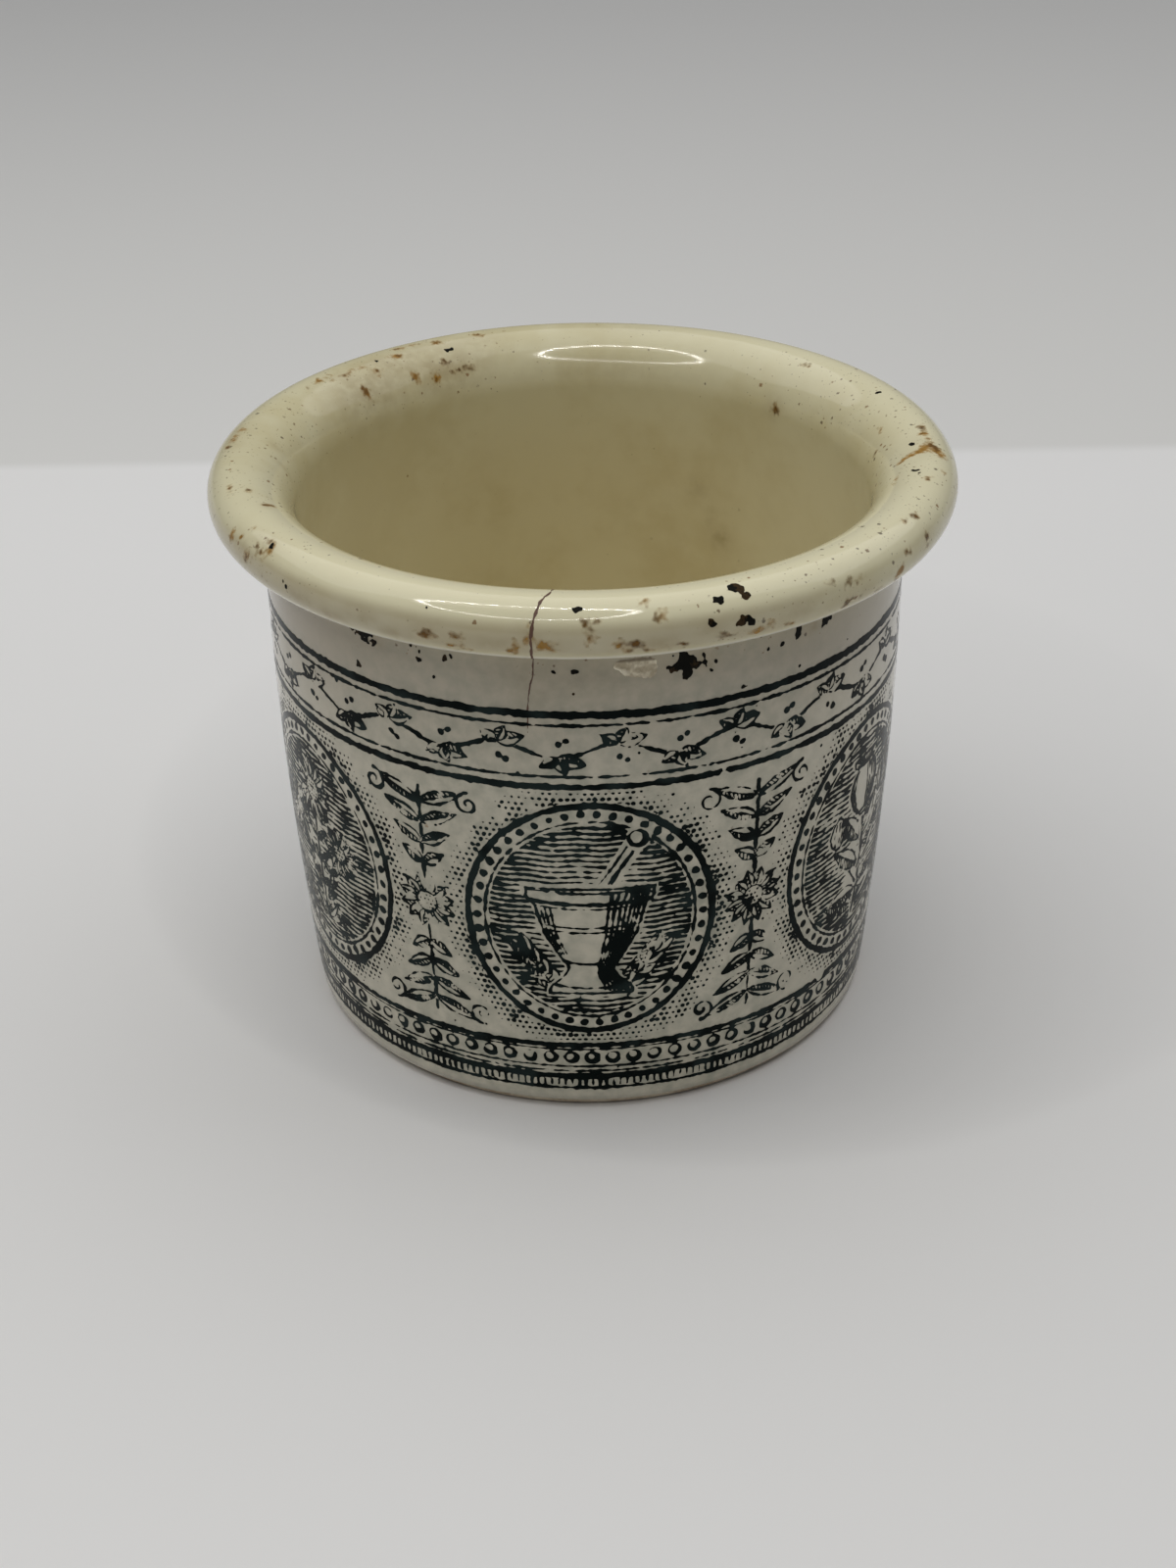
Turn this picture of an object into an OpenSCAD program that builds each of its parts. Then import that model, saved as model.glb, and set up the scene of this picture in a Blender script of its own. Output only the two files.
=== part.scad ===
// A small open ointment pot of glazed earthenware: a bowed wall on a bare foot, with a rolled rim.
// It stands on z = 0 with its axis on Z. Every piece is a full turn of a half section, drawn in the
// plane of radius and height. The sizes are those of the glazed pot; the clay lies one glaze deep inside.

/* [Pot] */
// Height from the foot to the top of the rim
pot_h = 38.5; // [34:0.5:48]
// Diameter over the rolled rim
rim_d = 48; // [40:0.5:58]
// Overhang of the rim, outside the wall where that is widest
rim_out = 3.2; // [2.6:0.1:4.4]
// Height at which the wall is widest
belly_h = 30; // [24:0.5:33]
// Draw of the wall, from where it is widest in to the foot
foot_in = 1.5; // [0.5:0.1:4]

/* [Rim] */
// Radius of the bead round the outside of the rim
bead_r = 1.9; // [1.5:0.1:2.3]
// Depth turned off the bottom of the bead, which leaves its flat underside
bead_cut = 0.2; // [0.1:0.05:0.6]
// Radius of the hollow under the rim, where a cover's string is tied
tie_r = 0.6; // [0.3:0.1:1]

/* [Wall and floor] */
// Thickness of the wall
wall_t = 2.2; // [1.6:0.1:3]
// Thickness of the floor
floor_t = 3; // [2.2:0.1:5]
// Radius of the round corner between the wall and the floor inside
corner_r = 5; // [3:0.5:8]

/* [Foot] */
// Width of the foot ring that the pot stands on, with its bevel
foot_ring_w = 2.4; // [1.4:0.1:5]
// Depth of the hollow under the pot
hollow_h = 0.8; // [0.5:0.1:1.4]
// Bevel round the outer edge of the foot
foot_bevel = 0.4; // [0.2:0.1:0.6]

/* [Glaze] */
// Thickness of the glaze
glaze_t = 0.2; // [0.1:0.05:0.35]
// Height of the bare clay band that is wiped round the foot
bare_h = 0.7; // [0.4:0.1:2]

/* [Hidden] */

// Steps round a full turn, and round the large circle that bows the wall
turn_fn = 180;
bow_fn = 1440;
// Radii that follow from a tangency are rounded to this, and lap their neighbour by about as much
grain = 0.01;
lap = grain / 2;
// Room left round a shape that is trimmed, so that no edge of the trim lies on the shape
spare = 2;

rim_r = rim_d / 2;
belly_r = rim_r - rim_out;
foot_r = belly_r - foot_in;
rim_z = pot_h - 2 * bead_r + bead_cut;

// The wall's bow: one large circle through the widest point and the foot
bow_exact = (pow(foot_in, 2) + pow(belly_h, 2)) / (2 * foot_in);
bow_r = round(bow_exact / grain) * grain;
bow_x = belly_r - bow_r;
inside_r = bow_r - wall_t;

// The bead and the flare that rolls over the rim into the mouth share one top point.
// The flare's radius is the one that is also tangent to the inside of the wall.
bead_x = rim_r - bead_r;
bead_z = pot_h - bead_r;
flare_reach = bead_x - bow_x;
flare_rise = pot_h - belly_h;
flare_exact = (pow(flare_reach, 2) + pow(flare_rise, 2) - pow(inside_r, 2)) / (2 * (inside_r + flare_rise));
flare_r = ceil((flare_exact + lap) / grain) * grain;
flare_z = pot_h - flare_r;

// The inside corner, tangent to the floor and to the inside of the wall
corner_z = floor_t + corner_r;
corner_drop = belly_h - corner_z;
corner_swing = inside_r - corner_r;
corner_exact = bow_x + sqrt(pow(corner_swing, 2) - pow(corner_drop, 2));
corner_x = ceil((corner_exact + lap) / grain) * grain;
corner_meet_z = corner_z - corner_r * corner_drop / corner_swing;

// The tie hollow, tangent to the outside of the wall and to the underside of the rim
tie_z = rim_z - tie_r;
tie_wall_x = bow_x + sqrt(pow(bow_r, 2) - pow(tie_z - belly_h, 2));
tie_x = floor((tie_wall_x + tie_r - lap) / grain) * grain;

// The hollow under the pot has sides at 45 degrees
hollow_r = foot_r - foot_ring_w;
hollow_top_r = hollow_r - hollow_h;
foot_edge_r = foot_r - glaze_t - foot_bevel;

// A circle at a place in the half section
module disc(x, z, r, fn = turn_fn) {
    translate([x, z]) circle(r = r, $fn = fn);
}

// A rectangle in the half section, from its lowest to its highest corner
module block(x0, z0, x1, z1) {
    translate([x0, z0]) square([x1 - x0, z1 - z0]);
}

// The round hollow under the rim is what this patch leaves open
module tie_hollow(inset) {
    difference() {
        block(tie_x - tie_r - wall_t / 2, tie_z, tie_x, rim_z + inset);
        disc(tie_x, tie_z, tie_r + inset);
    }
}

// The outside, from the foot to the bead, and solid right through
module outside(inset) {
    intersection() {
        disc(bow_x, belly_h, bow_r - inset, bow_fn);
        block(0, 0, rim_r, rim_z + inset);
    }
    tie_hollow(inset);
    block(0, rim_z + inset, bead_x, pot_h + spare / 2);
    intersection() {
        disc(bead_x, bead_z, bead_r - inset);
        block(bead_x, rim_z + inset, rim_r + spare, pot_h + spare);
    }
}

// The room inside: the floor with its round corner, the bowed wall, and the flared mouth
module inside(inset) {
    block(0, floor_t - inset, corner_x, corner_z);
    intersection() {
        disc(corner_x, corner_z, corner_r + inset);
        block(corner_x, 0, rim_r, corner_z);
    }
    intersection() {
        disc(bow_x, belly_h, inside_r + inset, bow_fn);
        block(0, corner_meet_z, rim_r, pot_h + spare);
    }
    difference() {
        block(0, flare_z, bead_x, pot_h + spare);
        disc(bead_x, flare_z, flare_r - inset);
    }
}

// The pot's half section, drawn in by an inset all round
module pot_section(inset) {
    difference() {
        outside(inset);
        inside(inset);
    }
}

// The fired clay: one piece, with a bevelled foot ring round a shallow hollow
module earthenware_body() {
    color("#d8cfba") rotate_extrude($fn = turn_fn) difference() {
        pot_section(glaze_t);
        polygon([[0, 0], [hollow_r, 0], [hollow_top_r, hollow_h], [0, hollow_h]]);
        polygon([[foot_edge_r, 0], [foot_edge_r + 2 * foot_bevel, 0],
                 [foot_edge_r + 2 * foot_bevel, 2 * foot_bevel]]);
    }
}

// The glass skin over the wall, the rim and the inside, wiped off round the foot
module glaze_coat() {
    color("#ebe7d6") rotate_extrude($fn = turn_fn) difference() {
        pot_section(0);
        pot_section(glaze_t);
        block(0, 0, rim_r, bare_h);
    }
}

// The glaze left in the hollow under the pot, inside the bare foot ring
module base_glaze() {
    color("#e6e1cf") rotate_extrude($fn = turn_fn)
        polygon([[0, hollow_h - glaze_t], [hollow_top_r + glaze_t, hollow_h - glaze_t],
                 [hollow_top_r, hollow_h], [0, hollow_h]]);
}

earthenware_body();
glaze_coat();
base_glaze();
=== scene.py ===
# %% [markdown]
# An old ointment pot of glazed earthenware, made in Blender around its CAD solids.
# The CAD model comes first: it is loaded as a fixed frame, and every new piece takes its place from it.

# %% Load the frame
from math import radians

import bpy
import numpy as np
from mathutils import Matrix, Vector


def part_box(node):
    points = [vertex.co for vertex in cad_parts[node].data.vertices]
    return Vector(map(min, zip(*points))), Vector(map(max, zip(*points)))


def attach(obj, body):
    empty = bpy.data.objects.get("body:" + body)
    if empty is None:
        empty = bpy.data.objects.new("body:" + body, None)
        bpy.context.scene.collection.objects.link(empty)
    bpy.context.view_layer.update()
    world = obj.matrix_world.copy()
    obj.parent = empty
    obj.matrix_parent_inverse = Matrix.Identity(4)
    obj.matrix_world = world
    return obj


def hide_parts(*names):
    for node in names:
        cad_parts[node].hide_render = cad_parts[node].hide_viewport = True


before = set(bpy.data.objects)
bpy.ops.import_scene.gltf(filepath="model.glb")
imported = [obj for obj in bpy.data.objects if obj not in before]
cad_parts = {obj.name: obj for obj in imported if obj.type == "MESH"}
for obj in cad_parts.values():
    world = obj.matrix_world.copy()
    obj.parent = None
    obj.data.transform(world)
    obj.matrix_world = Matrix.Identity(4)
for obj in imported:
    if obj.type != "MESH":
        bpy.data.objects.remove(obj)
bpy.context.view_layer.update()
MM = 0.001
print("CAD nodes:", sorted(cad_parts))

# %% [markdown]
# The camera stands a hand's breadth from the pot and looks down into its mouth.
# Its place was found by fitting the outline of the rim, the wall and the foot in the photograph.
# It could be aimed with a constraint, but a plain matrix keeps the slight roll of a hand-held picture.

# %% Camera
camera_reach = 170.65 * MM
camera_rise = radians(34.55)
camera_tilt = radians(30.77)
camera_roll = radians(-0.99)

camera = bpy.data.cameras.new("camera")
camera.lens = 54.09
camera.sensor_width = 36.0
camera.clip_start = 0.01
camera_object = bpy.data.objects.new("camera", camera)
bpy.context.scene.collection.objects.link(camera_object)
camera_out = camera_reach * np.cos(camera_rise)
camera_up = camera_reach * np.sin(camera_rise)
camera_place = Matrix.Translation((0, -camera_out, camera_up))
camera_turn = Matrix.Rotation(radians(90) - camera_tilt, 4, "X") @ Matrix.Rotation(camera_roll, 4, "Z")
camera_object.matrix_world = camera_place @ camera_turn
bpy.context.scene.camera = camera_object
print("camera at", [round(value, 4) for value in camera_object.matrix_world.translation])

# %% [markdown]
# The pot is a turned form, so one line drawn from the foot up the wall, over the rim and down to the
# middle of the floor holds its whole shape. The line is built from arcs that meet smoothly, like a
# potter's profile. The overall sizes are read from the CAD nodes, and the rest are the same sizes as the
# CAD model has.

# %% Sizes of the section, in millimetres
glaze_low, glaze_high = [np.array(corner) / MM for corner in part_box("glaze_coat")]
clay_high = np.array(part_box("earthenware_body")[1]) / MM
rim_r = glaze_high[0]
pot_h = glaze_high[2]
bare_h = glaze_low[2]
glaze_t = pot_h - clay_high[2]
rim_out = 3.2
belly_h = 30.0
foot_in = 1.5
bead_r = 1.9
bead_cut = 0.2
tie_r = 0.6
wall_t = 2.2
floor_t = 3.0
corner_r = 5.0

belly_r = rim_r - rim_out
bow_r = (foot_in**2 + belly_h**2) / (2 * foot_in)
bow_x = belly_r - bow_r
inside_r = bow_r - wall_t
rim_z = pot_h - 2 * bead_r + bead_cut
bead_x = rim_r - bead_r
bead_z = pot_h - bead_r
flare_reach = bead_x - bow_x
flare_rise = pot_h - belly_h
flare_r = (flare_reach**2 + flare_rise**2 - inside_r**2) / (2 * (inside_r + flare_rise))
flare_z = pot_h - flare_r
corner_z = floor_t + corner_r
corner_x = bow_x + np.sqrt((inside_r - corner_r) ** 2 - (belly_h - corner_z) ** 2)
tie_z = rim_z - tie_r
tie_x = bow_x + np.sqrt(bow_r**2 - (tie_z - belly_h) ** 2) + tie_r
print(f"rim {2 * rim_r:.2f} mm across, {pot_h:.2f} mm tall, glaze {glaze_t:.2f} mm thick")


# %% The section as one line
def arc(x, z, radius, start, end, count=400):
    """Points at equal angles on a circle: centre plus radius times cosine and sine, angles in degrees."""
    angle = np.radians(np.linspace(start, end, count))
    return np.stack([x + radius * np.cos(angle), z + radius * np.sin(angle)], 1)


def slope(rise, radius):
    """The angle, in degrees, at which a circle of this radius stands so far above its centre."""
    return np.degrees(np.arcsin(rise / radius))


wall_top = slope(tie_z - belly_h, bow_r)
mouth_meet = slope(flare_z - belly_h, inside_r + flare_r)
corner_meet = slope(corner_z - belly_h, inside_r - corner_r)
stretches = {
    "wall": arc(bow_x, belly_h, bow_r, slope(bare_h - belly_h, bow_r), wall_top),
    "tie": arc(tie_x, tie_z, tie_r, 180, 90),
    "bead": arc(bead_x, bead_z, bead_r, slope(rim_z - bead_z, bead_r), 90),
    "flare": arc(bead_x, flare_z, flare_r, 90, 180 + mouth_meet),
    "inside": arc(bow_x, belly_h, inside_r, mouth_meet, corner_meet),
    "corner": arc(corner_x, corner_z, corner_r, corner_meet, -90),
    "floor": np.array([[corner_x * 0.99, floor_t], [0, floor_t]]),
}
section = np.concatenate(list(stretches.values()))
along = np.concatenate([[0], np.cumsum(np.hypot(*np.diff(section, axis=0).T))])
last_point = np.cumsum([len(points) for points in stretches.values()]) - 1
ends = dict(zip(stretches, along[last_point]))
arris = along[last_point[1] + 1]
print("the stretches end at", {name: round(end, 2) for name, end in ends.items()}, "mm along the skin")

# %% [markdown]
# Glaze softens every corner and never lies quite evenly. The line is sampled finely and blurred by a
# twentieth of a millimetre, which rounds the arris under the rim, and long shallow waves are taken off
# it. The waves only go inwards, so the glaze never grows past the CAD solid.

# %% The glazed skin as a function of angle and distance
skin_step = 0.02
skin_soften = 0.05
skin_s = np.arange(0, along[-1], skin_step)
blur_reach = 10
blur = np.exp(-0.5 * (np.arange(-blur_reach, blur_reach + 1) * skin_step / skin_soften) ** 2)
blur /= blur.sum()


def softened(values):
    """The moving average of a line under a bell curve, with the line carried straight on past both ends."""
    before = 2 * values[0] - values[blur_reach:0:-1]
    after = 2 * values[-1] - values[-2 : -blur_reach - 2 : -1]
    return np.convolve(np.concatenate([before, values, after]), blur, "valid")


skin_r = softened(np.interp(skin_s, along, section[:, 0]))
skin_z = softened(np.interp(skin_s, along, section[:, 1]))
skin_r[-1] = 0.0
facing_r = np.gradient(skin_z, skin_step)
facing_z = -np.gradient(skin_r, skin_step)


# depth in mm, waves round the pot, lean up the skin, start
slow_waves = ((0.045, 2, 0.13, 0.6), (0.025, 5, -0.21, 2.1), (0.015, 9, 0.35, 4.0))


def unevenness(theta, s):
    """Depth of the glaze below its ideal skin, in mm: three slow sine waves round and up the pot,
    each from 0 to its height, fading out towards the middle of the floor."""
    wave = sum(depth * (0.5 + 0.5 * np.sin(waves * theta + lean * s + start))
               for depth, waves, lean, start in slow_waves)
    return wave * np.clip((skin_s[-1] - s) / 10, 0, 1)


def on_skin(theta, s, proud):
    """Points in metres at angle theta from the front and distance s along the section: the section turned
    about the axis, moved along its own normal by proud, in mm."""
    r = np.interp(s, skin_s, skin_r) + np.interp(s, skin_s, facing_r) * proud
    z = np.interp(s, skin_s, skin_z) + np.interp(s, skin_s, facing_z) * proud
    return np.stack([r * np.sin(theta), -r * np.cos(theta), z], -1) * MM


def on_glaze(theta, s, proud=0.0):
    """Points on the uneven glaze: the skin, lowered by its unevenness."""
    return on_skin(theta, s, proud - unevenness(theta, s))


print(f"skin of {len(skin_s)} points, {skin_s[-1]:.1f} mm from the foot to the middle of the floor")


# %% Making a mesh from arrays
def mesh_piece(name, points, loops, totals, uv):
    """A mesh from whole arrays: points, the corners of all faces in one row, each face's count of corners,
    and one flat place for each point, written to the face corners as a UV map."""
    mesh = bpy.data.meshes.new(name)
    mesh.vertices.add(len(points))
    mesh.vertices.foreach_set("co", points.astype(np.float32).ravel())
    mesh.loops.add(len(loops))
    mesh.loops.foreach_set("vertex_index", loops.astype(np.int32))
    mesh.polygons.add(len(totals))
    mesh.polygons.foreach_set("loop_start", (np.cumsum(totals) - totals).astype(np.int32))
    layer = mesh.uv_layers.new(name="OFBake")
    layer.data.foreach_set("uv", uv[loops].astype(np.float32).ravel())
    mesh.polygons.foreach_set("use_smooth", np.ones(len(totals), bool))
    mesh.update(calc_edges=True)
    mesh.validate()
    piece = bpy.data.objects.new(name, mesh)
    bpy.context.scene.collection.objects.link(piece)
    triangles = int((totals - 2).sum())
    print(f"{name}: {len(points)} points, {triangles} triangles")
    return piece


def point_values(piece, name, values):
    """One number for each point of a piece, which its finish can read."""
    layer = piece.data.attributes.new(name, "FLOAT", "POINT")
    layer.data.foreach_set("value", values.astype(np.float32).ravel())


# %% [markdown]
# A transfer print starts as a copper plate: lines are cut into it, inked, and pulled off on paper. Here
# the plate is a grid over the pot's girth and height, and each grid point holds how far it lies inside
# the nearest line, in millimetres. Joining lines is then a maximum, and wiping ink away is a minimum. It
# could be drawn in shader nodes, but a grid of distances takes any drawing and gives crisp edges.


# %% The copper plate
class Plate:
    """A grid of distances over girth u and height v, in mm: above 0 there is ink."""

    # mm of ground that a shape is worked out for past its edge, and the steps of a line done at once
    room = 0.25
    steps = 6

    def __init__(self, u_span, v_span, cell, wraps=False):
        self.wraps = wraps
        self.girth = u_span[1] - u_span[0]
        columns = round(self.girth / cell)
        self.cell_u = self.girth / columns
        self.cell_v = cell
        self.u = u_span[0] + np.arange(columns) * self.cell_u
        self.v = np.arange(v_span[0], v_span[1], cell)
        self.ink = np.full((len(self.v), columns), -1.0)

    def cut(self, at, reach, form, wipe=False):
        """Adds form(x, y), a distance inside a shape, near a place, or wipes that shape clean."""
        x = self.u - at[0]
        if self.wraps:
            x = (x + self.girth / 2) % self.girth - self.girth / 2
        y = self.v - at[1]
        columns = np.flatnonzero(np.abs(x) < reach[0])
        rows = np.flatnonzero(np.abs(y) < reach[1])
        if len(rows) == 0 or len(columns) == 0:
            return
        field = form(x[columns][None, :], y[rows][:, None])
        spot = np.ix_(rows, columns)
        old = self.ink[spot]
        self.ink[spot] = np.minimum(old, -field) if wipe else np.maximum(old, field)

    def stroke(self, points, width, wipe=False):
        """A line through points whose width may swell: half the width less the distance to the line."""
        points = np.asarray(points, float)
        half = np.broadcast_to(np.asarray(width, float) / 2, len(points))
        for first in range(0, len(points) - 1, self.steps):
            part = slice(first, first + self.steps + 1)
            self.short_stroke(points[part], half[part], wipe)

    def short_stroke(self, points, half, wipe):
        centre = (points.min(0) + points.max(0)) / 2
        reach = (points.max(0) - points.min(0)) / 2 + half.max() + self.room
        start = points[:-1] - centre
        run = np.diff(points, axis=0)
        length = np.maximum((run**2).sum(1), 1e-9)

        def form(x, y):
            px = x[..., None] - start[:, 0]
            py = y[..., None] - start[:, 1]
            t = np.clip((px * run[:, 0] + py * run[:, 1]) / length, 0, 1)
            gap = np.hypot(px - t * run[:, 0], py - t * run[:, 1])
            return (half[:-1] + t * (half[1:] - half[:-1]) - gap).max(-1)

        self.cut(centre, reach, form, wipe)

    def dot(self, at, radius, wipe=False):
        """A round dot: its radius less the distance to its middle."""
        reach = (radius + self.room, radius + self.room)
        self.cut(at, reach, lambda x, y: radius - np.hypot(x, y), wipe)

    def rule(self, v, width):
        """A line all the way round."""
        self.cut((0, v), (self.girth, width + 0.3), lambda x, y: width / 2 - np.abs(y) + 0 * x)

    def nearest(self, u, v):
        """The row and column of the grid point nearest to each place."""
        row = np.clip(np.rint((v - self.v[0]) / self.cell_v).astype(int), 0, len(self.v) - 1)
        column = np.rint((u - self.u[0]) / self.cell_u).astype(int)
        return row, column % len(self.u) if self.wraps else np.clip(column, 0, len(self.u) - 1)

    def clouds(self, grain, rng, stretch=1.0):
        """Soft noise of a grain in mm: white noise blurred by a bell curve, scaled to spread 1."""
        soft = self.blurred(rng.standard_normal(self.ink.shape), grain, stretch)
        return soft / soft.std()

    def blurred(self, field, grain, stretch=1.0):
        """A field blurred by a bell curve, which may be stretched along u, by way of its frequencies."""
        up = np.fft.fftfreq(field.shape[0], self.cell_v)[:, None]
        across = stretch * np.fft.rfftfreq(field.shape[1], self.cell_u)[None, :]
        bell = np.exp(-2 * (np.pi * grain) ** 2 * (up**2 + across**2))
        return np.fft.irfft2(np.fft.rfft2(field) * bell, s=field.shape)


girth = 2 * np.pi * belly_r
wall_plate = Plate((-girth / 2, girth / 2), (1.0, 31.2), 0.09, wraps=True)
print("wall plate of", wall_plate.ink.shape, "points")

# %% [markdown]
# The print is a plain apothecary pattern of its period: ruled borders, a running vine, and oval frames
# that hold a mortar, a poppy or a camomile by turns. An engraver builds all of it from a few strokes: a
# leaf, a flower and lines that swell, with ruled or dotted tone behind. Each is a short function here.


# %% Leaves, flowers and frames
def stem(plate, points, clear, width):
    """A line with clear ground along both its sides."""
    plate.stroke(points, clear, wipe=True)
    plate.stroke(points, width)


# half widths of a leaf's outline, rib and shading lines, and the clear ground round it, in mm
outline_half = 0.08
rib_half = 0.07
shade_half = 0.085
clear_round = 0.12


def leaf(plate, base, tip, breadth, hatch=0.3):
    """A pointed leaf: half its breadth times the sine of the way along, as an outline and a midrib, with
    slanting lines over one half."""
    base = np.asarray(base, float)
    axis = np.asarray(tip, float) - base
    length = np.hypot(*axis)
    axis = axis / length
    centre = base + axis * length / 2
    reach = np.full(2, length / 2 + breadth / 2 + 0.3)

    def parts(x, y):
        way = (x * axis[0] + y * axis[1]) / length + 0.5
        across = y * axis[0] - x * axis[1]
        half = breadth / 2 * np.sin(np.pi * np.clip(way, 0, 1) ** 0.8)
        past = length * np.maximum(np.abs(way - 0.5) - 0.5, 0)
        return way, across, half - np.abs(across) - past

    def body(x, y):
        return parts(x, y)[2] + clear_round

    def lines(x, y):
        way, across, inside = parts(x, y)
        outline = outline_half - np.abs(inside)
        rib = np.minimum(rib_half - np.abs(across), inside + 0.05)
        slant = (way * length + 0.7 * np.abs(across)) % hatch - hatch / 2
        tone = np.minimum(np.minimum(shade_half - np.abs(slant), inside), across)
        return np.maximum(np.maximum(outline, rib), tone)

    plate.cut(centre, reach, body, wipe=True)
    plate.cut(centre, reach, lines)


def curl(plate, at, radius, start, turns, width):
    """A spiral tendril: the radius shrinks evenly as the angle turns, and the line thins with it."""
    way = np.linspace(0, 1, 26)
    angle = np.radians(start) + 2 * np.pi * turns * way
    shrink = radius * (1 - 0.82 * way)
    points = np.stack([at[0] + shrink * np.cos(angle), at[1] + shrink * np.sin(angle)], 1)
    plate.stroke(points, width * (1 - 0.5 * way))


def flower(plate, at, radius, petals):
    """A camomile: outlined petals set round a dotted middle."""
    for number in range(petals):
        angle = 2 * np.pi * (number + 0.5) / petals
        aim = np.array([np.cos(angle), np.sin(angle)])
        leaf(plate, at + aim * radius * 0.32, at + aim * radius, radius * 0.36, hatch=0.34)
    plate.dot(at, radius * 0.36, wipe=True)
    plate.cut(at, (radius, radius), lambda x, y: 0.09 - np.abs(radius * 0.36 - np.hypot(x, y)))
    reach = (radius * 0.4, radius * 0.4)
    plate.cut(at, reach, lambda x, y: np.minimum(stipple(x, y, 0.3, 0.1), radius * 0.33 - np.hypot(x, y)))


def stipple(x, y, pitch, radius):
    """Staggered rows of dots: the dot's radius less the distance to the nearest lattice point."""
    row = np.floor(y / pitch)
    place = x / pitch + 0.5 * (row % 2)
    return radius - np.hypot((place - np.floor(place) - 0.5) * pitch, y - (row + 0.5) * pitch)


def oval(x, y, half_u, half_v):
    """Distance inside an ellipse, to first order: one less its level, over the level's slope."""
    level = np.sqrt((x / half_u) ** 2 + (y / half_v) ** 2) + 1e-6
    steep = np.sqrt((x / half_u**2) ** 2 + (y / half_v**2) ** 2) / level + 1e-6
    return (1 - level) / steep


frame_u = 7.9
frame_v = 8.6


def oval_frame(plate, at):
    """A heavy and a fine oval with pearls between them, and ruled tone inside that fades to the middle."""
    reach = (frame_u + 0.6, frame_v + 0.6)
    plate.cut(at, reach, lambda x, y: oval(x, y, frame_u, frame_v) + 0.35, wipe=True)
    plate.cut(at, reach, lambda x, y: 0.23 - np.abs(oval(x, y, frame_u, frame_v)))
    plate.cut(at, reach, lambda x, y: 0.09 - np.abs(oval(x, y, frame_u - 1.15, frame_v - 1.15)))
    pearls = 46
    for number in range(pearls):
        angle = 2 * np.pi * number / pearls
        pearl = at + ((frame_u - 0.62) * np.cos(angle), (frame_v - 0.62) * np.sin(angle))
        plate.dot(pearl, 0.27)
    pitch = 0.4

    def tone(x, y):
        inside = oval(x, y, frame_u - 1.4, frame_v - 1.4)
        line = 0.145 - 0.022 * inside - np.abs((y + 0.05 * np.sin(2 * x)) % pitch - pitch / 2)
        return np.minimum(line, inside)

    plate.cut(at, reach, tone)


print("strokes ready: leaf, curl, flower, stipple and oval frame")


# %% What the ovals hold
def form_of(heights, halves):
    """A smooth half width for each height: straight lines between the given places, blurred a little."""
    fine = np.linspace(heights[0], heights[-1], 240)
    straight = np.interp(fine, heights, halves)
    soft = np.convolve(np.pad(straight, 7, "edge"), np.ones(15) / 15, "valid")
    return lambda y: np.interp(y, fine, soft)


def turned_outline(plate, at, heights, halves, lines):
    """A turned vessel: its clear body, its outline, and lines at given shares of its half width."""
    half = form_of(heights, halves)
    reach = (max(halves) + 0.6, max(abs(heights[0]), abs(heights[-1])) + 0.6)

    def inside(x, y):
        ends = np.minimum(y - heights[0], heights[-1] - y)
        return np.minimum(half(y) - np.abs(x), ends)

    plate.cut(at, reach, lambda x, y: inside(x, y) + 0.28, wipe=True)
    plate.cut(at, reach, lambda x, y: 0.11 - np.abs(inside(x, y)))
    y = np.linspace(heights[0], heights[-1], 30)
    for share, low, high, width in lines:
        span = (y >= low) & (y <= high)
        plate.stroke(at + np.stack([share * half(y[span]), y[span]], 1), width)
    return half


def hoop(plate, at, half, y, width, sag=0.28):
    """A turned ring seen from a little above: a line across the vessel that sags in the middle."""
    x = np.linspace(-1, 1, 13)
    points = np.stack([x * half, y - sag * (1 - x**2)], 1)
    plate.stroke(at + points, width)


def mortar(plate, at):
    """A footed mortar with its pestle, shaded down its right side, between two sprays of leaves."""
    for side in (-1, 1):
        for number in range(4):
            root = at + (side * (2.3 + 0.55 * number), -4.9 + 0.75 * number)
            leaf(plate, root, root + (side * 1.5, 0.5 + 0.25 * number), 0.95)
            leaf(plate, root, root + (side * 0.5, 1.7), 0.85)
    tip = at + (3.0, 6.1)
    grip = np.linspace(at + (0.4, 2.0), tip, 5)
    stem(plate, grip, 1.3, [0.95, 0.8, 0.7, 0.7, 0.9])
    plate.stroke(grip, [0.65, 0.5, 0.4, 0.4, 0.6], wipe=True)
    plate.stroke(grip + (0.14, -0.1), 0.16)
    plate.dot(tip, 0.85, wipe=True)
    plate.dot(tip, 0.66)
    plate.dot(tip + (-0.08, 0.1), 0.42, wipe=True)
    heights = [-5.6, -5.0, -4.2, -3.5, -2.9, -1.0, 1.4, 1.7, 2.5]
    halves = [2.7, 2.6, 1.7, 1.35, 1.8, 2.9, 3.5, 4.0, 4.05]
    right = [(share, -5.4, 2.3, 0.15 + 0.12 * share) for share in (0.34, 0.45, 0.56, 0.66, 0.75, 0.83, 0.9)]
    left = [(share, -2.8, 1.3, 0.14) for share in (-0.92, -0.84, -0.74)]
    half = turned_outline(plate, at, heights, halves, right + left)
    hoops = ((2.45, 0.2), (1.6, 0.3), (1.25, 0.14), (-0.2, 0.16), (-0.55, 0.16), (-3.0, 0.22), (-4.9, 0.2))
    for y, width in hoops:
        hoop(plate, at, half(y), y, width)


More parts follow.
